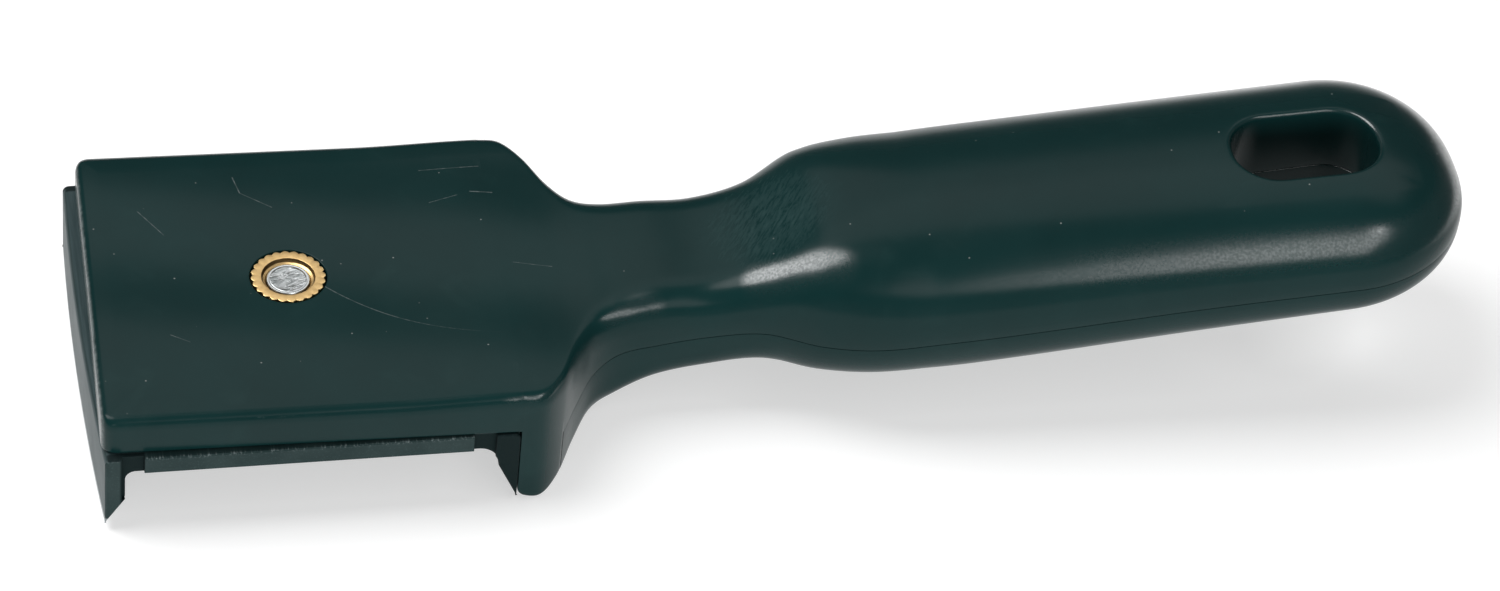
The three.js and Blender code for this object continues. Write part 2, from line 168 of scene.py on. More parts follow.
# %% Finishes
class Finish:
    def __init__(self, name):
        self.material = bpy.data.materials.new(name)
        self.material.use_nodes = True
        self.tree = self.material.node_tree
        self.shader = self.tree.nodes["Principled BSDF"]

    def node(self, kind, settings=None, sockets=None, out=0):
        made = self.tree.nodes.new(kind)
        for name, value in (settings or {}).items():
            setattr(made, name, value)
        for name, value in (sockets or {}).items():
            self.join(made.inputs[name], value)
        return Level(self, made.outputs[out])

    def join(self, socket, value):
        if isinstance(value, Level):
            self.tree.links.new(value.socket, socket)
        else:
            socket.default_value = value

    def set(self, **sockets):
        for name, value in sockets.items():
            self.join(self.shader.inputs[name.replace("_", " ")], value)

    def vector(self, operation, *values, out=0):
        return self.node("ShaderNodeVectorMath", {"operation": operation}, dict(enumerate(values)), out)

    def scaled(self, vector, share):
        return self.node("ShaderNodeVectorMath", {"operation": "SCALE"}, {0: vector, "Scale": share})

    def mix(self, share, first, second):
        """Two colours mixed; a Mix node keeps its colour sockets at 6, 7 and 2."""
        return self.node("ShaderNodeMix", {"data_type": "RGBA"}, {0: share, 6: first, 7: second}, 2)

    def place(self):
        """Place on the tool in millimetres from the head mark."""
        raw = self.node("ShaderNodeTexCoord", out="Object")
        shifted = self.vector("SUBTRACT", raw, tuple(HEAD_MARK))
        return self.scaled(shifted, 1 / MM)

    def along(self, where, axis):
        return self.node("ShaderNodeSeparateXYZ", sockets={0: where}, out=axis)

    def facing(self, axis):
        return self.along(self.node("ShaderNodeNewGeometry", out="Normal"), axis)

    def stretched(self, where, turn, lengths=(1.0, 1.0, 1.0)):
        """The place measured along axes turned by some degrees, in units of the given lengths."""
        sockets = {"Vector": where, "Rotation": (0, 0, math.radians(turn)), "Scale": lengths}
        return self.node("ShaderNodeMapping", {"vector_type": "TEXTURE"}, sockets)

    def noise(self, where, scale, detail=3.0, roughness=0.55, distortion=0.0):
        sockets = {"Vector": where, "Scale": scale, "Detail": detail, "Roughness": roughness}
        return self.node("ShaderNodeTexNoise", sockets={**sockets, "Distortion": distortion})

    def bump(self, height, depth_mm, strength=1.0):
        sockets = {"Height": height, "Distance": MM * depth_mm, "Strength": strength}
        return self.node("ShaderNodeBump", sockets=sockets)


print("finishes ready")

# %% [markdown]
# The head of the tool is scratched from use. Scratches could be drawn as geometry, but they are far
# thinner than a facet, so they belong to the finish. The plain ones are placed one by one, as a distance
# from a line or a circle. Between them, contour lines of a noise that is stretched one way give
# hairlines, and a second noise breaks them into short ones.

# %% Marks on the plastic
# Start, end and width of the scratches on the head that are worth placing
SCRATCHES = (
    ((-6.3, 22.5), (-5.5, 18.9), 0.11),
    ((-5.5, 18.9), (-1.0, 15.4), 0.09),
    ((-21.1, 15.8), (-17.6, 10.3), 0.08),
    ((22.0, 21.9), (31.1, 22.0), 0.08),
    ((29.1, 16.4), (32.4, 15.9), 0.13),
    ((22.7, 14.5), (27.1, 15.8), 0.06),
    ((33.6, 0.2), (39.3, -1.1), 0.07),
    ((-18.3, -11.4), (-15.6, -13.1), 0.07),
)
# Centre, radius, first and last place along the tool and width of the one curved scratch
LONG_SCRATCH = ((35.2, 27.2), 42.3, 5.3, 32.0, 0.09)


def flat_place(finish, where):
    return finish.vector("MULTIPLY", where, (1.0, 1.0, 0.0))


def stroke(finish, flat, start, end, width):
    """A mark from one point to another, seen from above."""
    start, end = Vector((*start, 0.0)), Vector((*end, 0.0))
    run = end - start
    from_start = finish.vector("SUBTRACT", flat, tuple(start))
    share = finish.vector("DOT_PRODUCT", from_start, tuple(run / run.length_squared), out="Value")
    # Adding nothing, with a clamp, holds the share between the two ends
    share = share.math("ADD", 0.0, clamp=True)
    off_line = finish.vector("DISTANCE", from_start, finish.scaled(tuple(run), share), out="Value")
    return 1 - off_line.between(0.3 * width, width)


def curved_stroke(finish, flat, centre, radius, first, last, width):
    """A scratch along a circle, fading out between two places along the tool."""
    off_line = abs(finish.vector("DISTANCE", flat, (*centre, 0.0), out="Value") - radius)
    along = finish.along(flat, "X")
    shown = along.between(first - 1.0, first) * (1 - along.between(first, last))
    return (1 - off_line.between(0.3 * width, width)) * shown


def hairlines(finish, where, turn, spacing, share):
    drift = finish.noise(finish.stretched(where, turn, (70.0, 1.0, 3.0)), 1 / spacing, detail=1.0)
    line = 1 - abs(drift - 0.5).between(0.0, 0.003)
    breaks = finish.noise(finish.stretched(where, turn, (9.0, 1.0, 1.0)), 0.16, detail=1.0)
    return line * breaks.between(1 - share, 1.04 - share)


def head_scratches(finish, where, flat, on_head):
    marks = curved_stroke(finish, flat, *LONG_SCRATCH)
    for scratch in SCRATCHES:
        marks = marks.most(stroke(finish, flat, *scratch))
    fine = hairlines(finish, where, 24, 9.0, 0.36)
    fine = fine.most(hairlines(finish, where, -37, 11.0, 0.34))
    faint = 0.35 + 0.65 * finish.noise(where, 0.9, detail=2.0).between(0.38, 0.62)
    return (marks * faint).most(0.25 * fine * on_head)


print("scratches placed one by one:", len(SCRATCHES) + 1)

# %% [markdown]
# The handle is moulded in very dark green-black plastic with a satin gloss. A flat colour would look
# like paint, so the colour drifts a little, the gloss changes where hands and walls have rubbed it, and
# a fine moulded grain breaks up the highlights. Besides its scratches, the head carries specks of dust
# and a chafed front edge. The shoulder of the grip is scuffed, and hands have polished the shoulder, the
# neck, the guard and the grip's end.

# %% Handle plastic
HEAD_FRONT = -29.6
HEAD_HALF = 29.2
# Places that hands have polished, as start, end and reach: shoulder, neck, guard and end of the grip
POLISHED = (
    ((69.0, -10.0), (80.4, -13.3), 3.4),
    ((48.0, -12.9), (51.5, -12.0), 4.0),
    ((31.0, -28.4), (37.0, -26.2), 3.0),
    ((172.0, -18.0), (173.0, -18.0), 85.0),
)
SCUFF_CENTRE = (72.0, 0.5, 0.0)
SWELL_PITCH = 31.0


def chafed_edges(finish, where, along, across):
    at_front = 1 - along.between(HEAD_FRONT + 0.1, HEAD_FRONT + 0.6)
    at_side = 1 - across.between(0.2 - HEAD_HALF, 0.5 - HEAD_HALF)
    at_top = finish.along(where, "Z").between(-0.9, -0.5)
    nicked = finish.noise(finish.stretched(where, 0, (2.5, 1.0, 1.0)), 1.1, detail=3.0)
    few = (1 - along.between(-14.0, 2.0)) * nicked.between(0.6, 0.68)
    return (at_front * nicked.between(0.25, 0.75)).most(at_side * at_top * few)


def hand_polish(finish, flat, along, rise):
    on_edge = 1 - rise.between(0.84, 0.93)
    shoulder, *edges = (stroke(finish, flat, *spot) for spot in POLISHED)
    polished = shoulder * (1 - 0.35 * along.between(72.0, 84.0))
    for edge in edges:
        polished = polished.most(edge * on_edge)
    return polished * rise.between(0.35, 0.6)


def handle_plastic():
    finish = Finish("moulded_plastic")
    where = finish.place()
    flat = flat_place(finish, where)
    along, across = finish.along(where, "X"), finish.along(where, "Y")
    cloud = finish.noise(where, 0.045, detail=4.0)
    grain = finish.noise(where, 2.6, detail=2.0)
    rubbed_and_lit = finish.noise(where, 0.11, detail=5.0, distortion=0.6)
    rise = finish.facing("Z")
    upward = rise.between(0.75, 0.95)
    on_head = 1 - along.between(34.0, 60.0)
    swell = (2 * math.pi / SWELL_PITCH * (across + 0.2 * along - 8.5)).math("SINE") * on_head
    scratches = head_scratches(finish, where, flat, on_head) * upward
    shoulder = 1 - finish.vector("DISTANCE", flat, SCUFF_CENTRE, out="Value").between(3.0, 12.0)
    drag = finish.noise(finish.stretched(where, 52, (3.2, 0.6, 1.5)), 1.5, detail=5.0, roughness=0.7)
    scuffs = shoulder * drag.between(0.3, 0.8)
    cell = {"Vector": where, "Scale": 0.36, "Randomness": 1.0}
    nearest = finish.node("ShaderNodeTexVoronoi", sockets=cell, out="Distance")
    pick = finish.along(finish.node("ShaderNodeTexVoronoi", sockets=cell, out="Color"), "X")
    specks = (1 - nearest.between(0.025, 0.06)) * pick.between(0.7, 0.74) * upward
    chafed = chafed_edges(finish, where, along, across)
    pitted = nearest.between(0.03, 0.07) * (0.55 + 0.45 * grain.between(0.3, 0.7))
    polished = hand_polish(finish, flat, along, rise) * pitted
    deep = finish.mix(cloud, (0.003, 0.0165, 0.0165, 1), (0.005, 0.0278, 0.0278, 1))
    hazy = finish.mix(rubbed_and_lit.between(0.55, 0.8) * 0.2, deep, (0.016, 0.044, 0.043, 1))
    scuffed = finish.mix(scuffs * 0.4, hazy, (0.04, 0.09, 0.088, 1))
    scratched = finish.mix(scratches * 0.3, scuffed, (0.34, 0.37, 0.37, 1))
    worn = finish.mix(chafed * 0.6, scratched, (0.15, 0.185, 0.185, 1))
    dusted = finish.mix(specks * 0.4, worn, (0.5, 0.52, 0.5, 1))
    gloss = 0.2 + 0.08 * rubbed_and_lit + 0.04 * (grain - 0.5) + 0.16 * scratches + 0.2 * scuffs
    at_sides = abs(across).between(HEAD_HALF - 4.7, HEAD_HALF + 1.3)
    behind_front = along.between(HEAD_FRONT - 0.9, HEAD_FRONT + 3.6)
    rolled_off = at_sides.most(1 - behind_front) * on_head
    height = 0.0035 * grain + 0.003 * rubbed_and_lit + 0.25 * swell + 0.012 * scuffs * drag - 0.25 * rolled_off
    surface = finish.bump(height, 1.0)
    finish.set(Base_Color=dusted, Roughness=gloss, Normal=surface, Specular_IOR_Level=0.15)
    finish.set(Coat_Weight=polished, Coat_Roughness=0.22, Coat_IOR=1.75)
    return finish.material


PLASTIC = handle_plastic()
print("handle plastic:", len(PLASTIC.node_tree.nodes), "nodes")

# %% [markdown]
# The insert is a turned and knurled brass barrel. A lathe leaves rings on its face, so we take the
# distance from the screw's axis as the pattern for a very shallow bump, and let the metal tarnish a
# little in patches. Its outer rim and teeth are painted brighter, a painted highlight, and the wall of
# its mouth is painted dark brown as painted shade.

# %% Brass
INSERT_RADIUS = 5.6
INSERT_MOUTH = 3.98


def brass():
    finish = Finish("turned_brass")
    where = finish.place()
    radius = finish.vector("LENGTH", flat_place(finish, where), out="Value")
    rings = finish.node("ShaderNodeTexNoise", {"noise_dimensions": "1D"}, {"W": radius, "Scale": 9.0})
    tarnish = finish.noise(where, 0.9, detail=4.0)
    # Painted highlight: the outer rim and teeth get a brighter colour and a smoother gloss
    rim = radius.between(INSERT_RADIUS - 0.4, INSERT_RADIUS - 0.1)
    tone = finish.mix(tarnish.between(0.35, 0.75), (0.86, 0.6, 0.28, 1), (0.7, 0.47, 0.2, 1))
    tone = finish.mix(rim * 0.6, tone, (0.95, 0.7, 0.34, 1))
    # Painted shade: the wall of the mouth is made dark brown
    mouth_shade = radius.between(INSERT_MOUTH - 0.24, INSERT_MOUTH - 0.14)
    mouth_shade = mouth_shade * (1 - radius.between(INSERT_MOUTH - 0.01, INSERT_MOUTH + 0.04))
    tone = finish.mix(mouth_shade * 0.85, tone, (0.1, 0.055, 0.02, 1))
    gloss = 0.3 + 0.16 * tarnish - 0.08 * rim
    turned = finish.bump(rings + 0.3 * tarnish, 0.02, 0.5)
    finish.set(Base_Color=tone, Metallic=1.0, Roughness=gloss, Normal=turned)
    return finish.material


BRASS = brass()
print("brass:", len(BRASS.node_tree.nodes), "nodes")

# %% [markdown]
# The screw and washers are steel with a bright zinc plate: a cool, clean metal with soft cloudy
# patches. The sawn end of the screw is the part one sees, torn in the middle and shiny round its rim,
# so the roughness and the bump grow within a small radius on that one face.

# %% Bright zinc
SCREW_TIP = -0.5
SCREW_RADIUS = 3.1


def zinc():
    finish = Finish("bright_zinc")
    where = finish.place()
    radius = finish.vector("LENGTH", flat_place(finish, where), out="Value")
    end = finish.along(where, "Z").between(SCREW_TIP - 0.5, SCREW_TIP - 0.2)
    sawn = (1 - radius.between(SCREW_RADIUS - 0.55, SCREW_RADIUS - 0.25)) * end
    cloud = finish.noise(where, 0.5, detail=4.0)
    torn = finish.noise(finish.stretched(where, 20, (1.5, 0.7, 1.0)), 0.62, detail=4.0, distortion=1.4)
    tone = finish.mix(cloud, (0.56, 0.59, 0.6, 1), (0.74, 0.76, 0.76, 1))
    tone = finish.mix(sawn * torn.between(0.42, 0.66) * 0.8, tone, (0.26, 0.29, 0.29, 1))
    gloss = 0.2 + 0.1 * cloud + 0.14 * sawn
    surface = finish.bump(0.06 * cloud + torn * sawn, 0.5, 0.55)
    finish.set(Base_Color=tone, Metallic=1.0, Roughness=gloss, Normal=surface)
    return finish.material


ZINC = zinc()
print("bright zinc:", len(ZINC.node_tree.nodes), "nodes")

# %% [markdown]
# The blade is bent from dark rolled strip. Rolling leaves fine lines along the strip and a thin
# blue-grey skin. The faces that face along the tool, on the lips and the bends, and the top of the bends
# are painted a lighter tone, as painted light. Each lip is ground to an edge, so a band near the edge is
# bare metal with grinding lines that run straight towards the edge. The relief notches, two of the lip
# ends and the tops of the bends beside the sides are painted almost black, as painted shade.

# %% Blade steel
BLADE_TOP = -6.35
LIP_DEPTH = 12.55
BLADE_HALF_WIDTH = 30.0
BLADE_SKEW = 1.0
NOTCH_START = 24.0
NOTCH_END = 27.3


def blade_steel():
    finish = Finish("rolled_steel")
    where = finish.stretched(finish.place(), BLADE_SKEW)
    along, across, height = (finish.along(where, axis) for axis in "XYZ")
    reach, side = abs(along), abs(across)

    def near_side(first, last):
        return side.between(BLADE_HALF_WIDTH - first, BLADE_HALF_WIDTH - last)

    above_edge = height - (BLADE_TOP - LIP_DEPTH)
    rolled = finish.noise(finish.stretched(where, 0, (0.6, 20.0, 0.6)), 2.2, detail=4.0)
    blotch = finish.noise(where, 0.14, detail=5.0, distortion=0.4)
    lines = finish.noise(finish.stretched(where, 0, (3.0, 0.2, 8.0)), 2.0, detail=2.0)
    # Painted light: faces that face along the tool get the lighter tone further down
    rubbed_and_lit = abs(finish.facing("X")).between(0.6, 0.9)
    ground = 1 - (above_edge + 0.5 * blotch).between(0.9, 1.3)
    worn = (1 - abs(height - BLADE_TOP).between(0.1, 0.5)) * near_side(0.6, 0.3)
    past_plate = reach.between(NOTCH_START - 0.1, NOTCH_START)
    notch = near_side(1.0, 0.85) * (1 - reach.between(NOTCH_END, NOTCH_END + 0.4))
    # Two of the lips' four ends, at opposite corners of the blade
    lip_end = near_side(0.7, 0.5) * (along * across).between(-520.0, -540.0)
    on_top = height.between(BLADE_TOP - 0.3, BLADE_TOP - 0.1)
    # The top of the bends takes the same painted-light tone
    rubbed_and_lit = rubbed_and_lit.most(past_plate * on_top)
    # Painted shade, almost black: the relief notches, two lip ends and the bends' tops beside the sides
    painted_shade = past_plate * notch.most(lip_end).most(on_top * near_side(1.6, 1.2))
    skin = finish.mix(blotch.between(0.3, 0.72), (0.01, 0.025, 0.025, 1), (0.02, 0.038, 0.038, 1))
    skin = finish.mix(rolled.between(0.52, 0.75) * 0.3, skin, (0.05, 0.084, 0.086, 1))
    # The lighter tone of painted light on those faces
    lit_face_tone = finish.mix(rolled.between(0.3, 0.7), (0.024, 0.045, 0.048, 1), (0.04, 0.065, 0.069, 1))
    skin = finish.mix(rubbed_and_lit, skin, lit_face_tone)
    skin = finish.mix(worn * rolled.between(0.5, 0.75) * 0.5, skin, (0.24, 0.28, 0.285, 1))
    tone = finish.mix(ground, skin, (0.34, 0.37, 0.38, 1))
    # Painted shade put into the colour
    tone = finish.mix(painted_shade * 0.9, tone, (0.002, 0.008, 0.0085, 1))
    gloss = 0.38 + 0.14 * blotch - 0.08 * ground + 0.3 * painted_shade
    surface = finish.bump(0.5 * rolled + ground * lines, 0.03, 0.5)
    bare = 0.15 + 0.85 * ground
    finish.set(Base_Color=tone, Metallic=bare, Roughness=gloss, Normal=surface, Specular_IOR_Level=0.2)
    return finish.material


BLADE_STEEL = blade_steel()
print("blade steel:", len(BLADE_STEEL.node_tree.nodes), "nodes")

# %% [markdown]
# All pieces are skins: rows of points joined by faces. This small class collects points and faces and
# knows four moves: lay a grid with rectangular gaps left in it, bridge two rings of the same count, fill
# between two rings of different counts, and close a ring. A boolean could cut the holes instead, but it
# leaves long thin triangles round them, which show in a glossy surface.

# %% Skins
class Skin:
    def __init__(self):
        self.points = []
        self.faces = []

    def add(self, points):
        points = np.asarray(points, dtype=float)
        first = len(self.points)
        self.points.extend(points.reshape(-1, 3))
        return np.arange(first, len(self.points)).reshape(points.shape[:-1])

    def grid(self, points, gaps=(), round_trip=False):
        ids = self.add(points)
        rows, columns = ids.shape
        for i in range(rows - 1):
            for j in range(columns if round_trip else columns - 1):
                if any(a <= i < b and c <= j < d for a, b, c, d in gaps):
                    continue
                k = (j + 1) % columns
                self.faces.append((ids[i, j], ids[i, k], ids[i + 1, k], ids[i + 1, j]))
        return ids

    def band(self, first, second):
        self.faces.extend(zip(first, np.roll(first, -1), np.roll(second, -1), second))

    def bridge(self, rings):
        ids = [self.add(ring) for ring in rings]
        for first, second in zip(ids, ids[1:]):
            self.band(first, second)
        return ids[0], ids[-1]

    def round_order(self, ring, centre):
        offsets = np.array([self.points[i][:2] for i in ring]) - centre
        angles = np.arctan2(offsets[:, 1], offsets[:, 0])
        order = np.argsort(angles)
        return np.asarray(ring)[order], angles[order]

    def stitch(self, outer, inner, centre):
        a, a_angles = self.round_order(outer, centre)
        b, b_angles = self.round_order(inner, centre)
        a_next = np.append(a_angles[1:], a_angles[0] + 2 * math.pi)
        b_next = np.append(b_angles[1:], b_angles[0] + 2 * math.pi)
        i = j = 0
        while i < len(a) or j < len(b):
            if j == len(b) or (i < len(a) and a_next[i] <= b_next[j]):
                self.faces.append((a[i], a[(i + 1) % len(a)], b[j % len(b)]))
                i += 1
            else:
                self.faces.append((b[j], a[i % len(a)], b[(j + 1) % len(b)]))
                j += 1

    def close(self, ring, inset=0.0):
        if inset:
            points = np.array([self.points[i] for i in ring])
            inner = self.add(points + inset * (points.mean(axis=0) - points))
            self.band(ring, inner)
            ring = inner
        self.faces.append(tuple(ring))


def gap_ring(ids, gap):
    a, b, c, d = gap
    sides = ids[a:b, c], ids[b, c:d], ids[b:a:-1, d], ids[a, d:c:-1]
    return np.concatenate(sides)


print("skins ready")

# %% [markdown]
# One function turns a skin into a piece of the tool. Points that a grid laid inside a gap are dropped,
# points in the same place are merged, and only edges that turn sharply stay sharp. Then the piece gets
# its finish, rides on its body, and the imported node that it stands for is hidden.

# %% From a skin to a piece
SLOT_OF = {part["node"]: part["material_slot"] for part in frame["record"]["subparts"]}
SMOOTH_BELOW = math.radians(32)
SAME_PLACE = 2e-6
NO_LENGTH = 1e-7


def make_piece(name, skin, material, body, node):
    mesh = bpy.data.meshes.new(name)
    faces = [tuple(map(int, face)) for face in skin.faces]
    mesh.from_pydata([tuple(point) for point in in_metres(skin.points)], [], faces)
    work = bmesh.new()
    work.from_mesh(mesh)
    in_gaps = [vert for vert in work.verts if not vert.link_faces]
    bmesh.ops.delete(work, geom=in_gaps, context="VERTS")
    bmesh.ops.remove_doubles(work, verts=work.verts, dist=SAME_PLACE)
    bmesh.ops.dissolve_degenerate(work, edges=work.edges, dist=NO_LENGTH)
    bmesh.ops.recalc_face_normals(work, faces=work.faces)
    open_edges = sum(1 for edge in work.edges if not edge.is_manifold)
    work.to_mesh(mesh)
    work.free()
    mesh.shade_smooth()
    mesh.set_sharp_from_angle(angle=SMOOTH_BELOW)
    piece = bpy.data.objects.new(name, mesh)
    bpy.context.scene.collection.objects.link(piece)
    mesh.materials.append(material)
    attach(piece, body)
    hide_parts(node)
    print(name, "-", len(mesh.polygons), "faces,", open_edges, "open edges")
    return piece


print("pieces to make:", ", ".join(SLOT_OF))

# %% [markdown]
# The handle changes section all the way along: a flat plate at the head, a deep guard, a narrow neck
# and an oval grip. It is described by stations. At each station stand the half width, the heights of
# the top, the parting line and the underside, and the radius that rounds the upper and lower edges. A
# smooth curve through the stations gives the section anywhere, and the grip's end shrinks as a dome.

# %% Sections of the handle
HEAD_THICKNESS = 6.2
HEAD_EDGE = 2.0
HEAD_CORNER = 2.2
FRONT_EDGE = 1.0
UNDER_EDGE = 0.4
HEAD_RISE_START = 12.0
GUARD_FRONT = 31.5
GUARD_REAR = 38.5
GUARD_EDGE = 1.2
GRIP_END = 178.8
CAP_LENGTH = 20.0
CAP_START = GRIP_END - CAP_LENGTH
CAP_POWER = 2.16
EDGE_POWER = 2.4
FULLEST_EDGE = 0.98
SEAM_GAP = 0.12
SEAM_SHARE = 0.2

# Place along the handle, half width, top, parting line, underside, upper and lower edge radius
STATIONS = np.array((
    (GUARD_FRONT, HEAD_HALF, 0.6, -11.5, -19.4, HEAD_EDGE, 0.8),
    (35.0, 28.7, 0.55, -11.5, -20.1, 2.4, 0.8),
    (38.0, 25.3, 0.5, -11.5, -19.8, 3.2, 1.4),
    (41.0, 19.8, 0.55, -10.6, -18.4, 4.6, 2.0),
    (44.0, 15.8, 0.95, -8.4, -17.1, 5.2, 3.8),
    (48.0, 13.7, 1.9, -6.5, -16.1, 5.6, 4.2),
    (54.0, 13.1, 2.9, -5.5, -13.5, 6.0, 4.5),
    (62.0, 13.2, 3.2, -4.2, -11.9, 6.4, 5.0),
    (70.0, 14.2, 5.5, -3.2, -11.3, 7.6, 7.0),
    (78.0, 18.2, 10.0, -2.6, -11.7, 12.0, 11.0),
    (86.0, 20.2, 11.9, -2.0, -12.6, 17.0, 17.0),
    (96.0, 20.8, 13.0, -0.8, -12.5, 20.8, 20.8),
    (108.0, 21.0, 14.1, 0.6, -11.1, 21.0, 21.0),
    (135.0, 21.2, 16.4, 4.1, -7.2, 21.2, 21.2),
    (160.0, 21.6, 18.3, 7.0, -3.5, 21.6, 21.6),
))
ALONG, ROWS = STATIONS[:, 0], STATIONS[:, 1:]
PADDED = np.vstack((STATIONS[:1], STATIONS, STATIONS[-1:]))
CHANGES = PADDED[2:] - PADDED[:-2]
SLOPES = CHANGES[:, 1:] / CHANGES[:, :1]


def set_back(radius, inside):
    short = max(radius - inside, 0.0)
    return radius - math.sqrt(radius ** 2 - short ** 2)


def head_row(x):
    inside = x - HEAD_FRONT
    t = min(max((x - HEAD_RISE_START) / (GUARD_FRONT - HEAD_RISE_START), 0.0), 1.0)
    half = HEAD_HALF - set_back(HEAD_CORNER, inside)
    top = ROWS[0, 1] * t * t * (3 - 2 * t) - set_back(FRONT_EDGE, inside)
    under = set_back(UNDER_EDGE, inside) - HEAD_THICKNESS
    return np.array((half, top, -HEAD_THICKNESS / 2, under, HEAD_EDGE, UNDER_EDGE))


def handle_row(x):
    if x < GUARD_FRONT:
        return head_row(x)
    if x >= ALONG[-1]:
        row = ROWS[-1] + (x - ALONG[-1]) * SLOPES[-1]
    else:
        i = int(np.searchsorted(ALONG, x, side="right")) - 1
        width = ALONG[i + 1] - ALONG[i]
        t = (x - ALONG[i]) / width
        row = ROWS[i] * (1 - t) ** 2 * (1 + 2 * t) + ROWS[i + 1] * t ** 2 * (3 - 2 * t)
        row = row + width * t * (1 - t) * (SLOPES[i] * (1 - t) - SLOPES[i + 1] * t)
    half, top, part, under, upper, lower = row
    under = under + set_back(GUARD_EDGE, x - GUARD_FRONT)
    shrink = 1.0
    if x > CAP_START:
        shrink = (1 - ((x - CAP_START) / CAP_LENGTH) ** 2) ** (1 / CAP_POWER)
    rise, drop = (top - part) * shrink, (part - under) * shrink
    return np.array((half * shrink, part + rise, part, part - drop, upper * shrink, lower * shrink))


print("sections at the neck and grip:", handle_row(54.0).round(2), handle_row(135.0).round(2))

# %% [markdown]
# Each section is drawn in two halves, above and below the parting line. A half is a wall, a rounded
# edge and a flat. If its points were spread evenly, the narrow edge of the head would get only a few of
# them, so they are spread by length and by turning together: tight edges get many points, and long
# flats still get enough.

# %% Points round a section
EDGE_STEPS = 120


def edge_reach(half, height, radius):
    return min(radius, FULLEST_EDGE * half), min(radius, FULLEST_EDGE * height)


def edge_profile(half, height, radius, count):
    across, along = edge_reach(half, height, radius)
    angle = np.linspace(0, math.pi / 2, EDGE_STEPS + 1)
    cosine, sine = np.cos(angle).clip(0), np.sin(angle)
    y = half - across * (1 - cosine ** (2 / EDGE_POWER))
    z = height - along * (1 - sine ** (2 / EDGE_POWER))
    y = np.concatenate(((half,), y, (0.0,)))
    z = np.concatenate(((0.0,), z, (height,)))
    lengths = np.hypot(np.diff(y), np.diff(z))
    headings = np.arctan2(np.diff(z), -np.diff(y))
    turns = np.abs(np.diff(headings))
    turning = 0.5 * (np.append(0, turns) + np.append(turns, 0))
    share = lengths / lengths.sum() + turning / max(turning.sum(), 1e-9)
    reached = np.append(0, np.cumsum(share))
    wanted = np.linspace(0, reached[-1], count + 1)
    return np.interp(wanted, reached, y), np.interp(wanted, reached, z)


def arch(x, above, count, seam=0.0):
    half, top, part, under, upper, lower = handle_row(x)
    height, radius = (top - part, upper) if above else (part - under, lower)
    y, z = edge_profile(half, height, radius, count)
    y[0] -= min(seam, SEAM_SHARE * half)
    y = np.append(y, -y[-2::-1])
    z = np.append(z, z[-2::-1]) * (1 if above else -1)
    return np.column_stack((np.full(len(y), x), y, part + z))


def seam_row(x, count, seam, drop=0.0):
    half, _, part, _, _, _ = handle_row(x)
    reach = half - min(seam, SEAM_SHARE * half)
    y = np.linspace(reach, -reach, 2 * count + 1)
    return np.column_stack((np.full(len(y), x), y, np.full(len(y), part - drop)))


def rise_at(half, height, radius, y):
    across, along = edge_reach(half, height, radius)
    u = min(max((abs(y) - half + across) / across, 0.0), 1.0)
    return height - along * (1 - (1 - u ** EDGE_POWER) ** (1 / EDGE_POWER))


def top_height(x, y):
    half, top, part, _, upper, _ = handle_row(x)
    return part + rise_at(half, top - part, upper, y)


def under_height(x, y):
    half, _, part, under, _, lower = handle_row(x)
    return part - rise_at(half, part - under, lower, y) - SEAM_GAP


def part_height(x, y, drop=0.0):
    return handle_row(x)[2] - drop


print("edge of the head:", edge_profile(HEAD_HALF, HEAD_THICKNESS / 2, HEAD_EDGE, 12)[0].round(2))

# %% [markdown]
# The grip has a hanging slot right through it, with a rounded rim that catches the light, and the head
# has a round hole for the insert. Both are one recipe: an outline seen from above, rings that come in
# over the rim, go down the wall and out again underneath. The rim's rings follow the surface at each
# point, so the slot sits properly in the crowned grip.

# %% Slot and hole outlines
SLOT_MIDDLE = 153.7
SLOT_HALF_LENGTH = 11.25
SLOT_HALF_WIDTH = 7.0
SLOT_CORNER = 6.5
SLOT_RIM = 0.9
HAIR = 0.001
HOLE_RIM = 0.15
SEAM_RIM = 0.1
OUTLINE_POINTS = 128
QUARTER_STEPS = 32
RIM_STEPS = 8


def outline(half_length, half_width, corner):
    """Points and outward directions, evenly spaced round a slot with rounded corners."""
    points, normals = [], []
    for quarter in range(4):
        angles = quarter * math.pi / 2 + np.linspace(0, math.pi / 2, QUARTER_STEPS + 1)
        away = np.column_stack((np.cos(angles), np.sin(angles)))
        middle = np.sign(away[QUARTER_STEPS // 2]) * (half_length - corner, half_width - corner)
        points.append(middle + corner * away)
        normals.append(away)
    points, normals = np.concatenate(points), np.concatenate(normals)
    closed = np.vstack((points, points[:1]))
    reached = np.append(0, np.cumsum(np.hypot(*np.diff(closed, axis=0).T)))
    wanted = np.linspace(0, reached[-1], OUTLINE_POINTS, endpoint=False)
    round_normals = np.vstack((normals, normals[:1]))
    at = np.column_stack([np.interp(wanted, reached, closed[:, k]) for k in (0, 1)])
    out = np.column_stack([np.interp(wanted, reached, round_normals[:, k]) for k in (0, 1)])
    return at, out


def round_hole(radius):
    return outline(radius, radius, radius - HAIR)


def ring_at(plan, height):
    return np.array([(x, y, height(x, y)) for x, y in plan])


def rim_rings(at, out, height, radius, apron, sign):
    """Rings from the surface over a rounded rim, the outermost first. sign is -1 on top, 1 below."""
    rings = [ring_at(at + (radius + spare) * out, height) for spare in apron]
    for angle in np.linspace(0, math.pi / 2, RIM_STEPS + 1):
        ring = ring_at(at + radius * (1 - math.sin(angle)) * out, height)
        ring[:, 2] += sign * radius * (1 - math.cos(angle))
        rings.append(ring)
    return rings


def walls_between(upper, lower, steps):
    return [upper + (lower - upper) * k / steps for k in range(1, steps)]


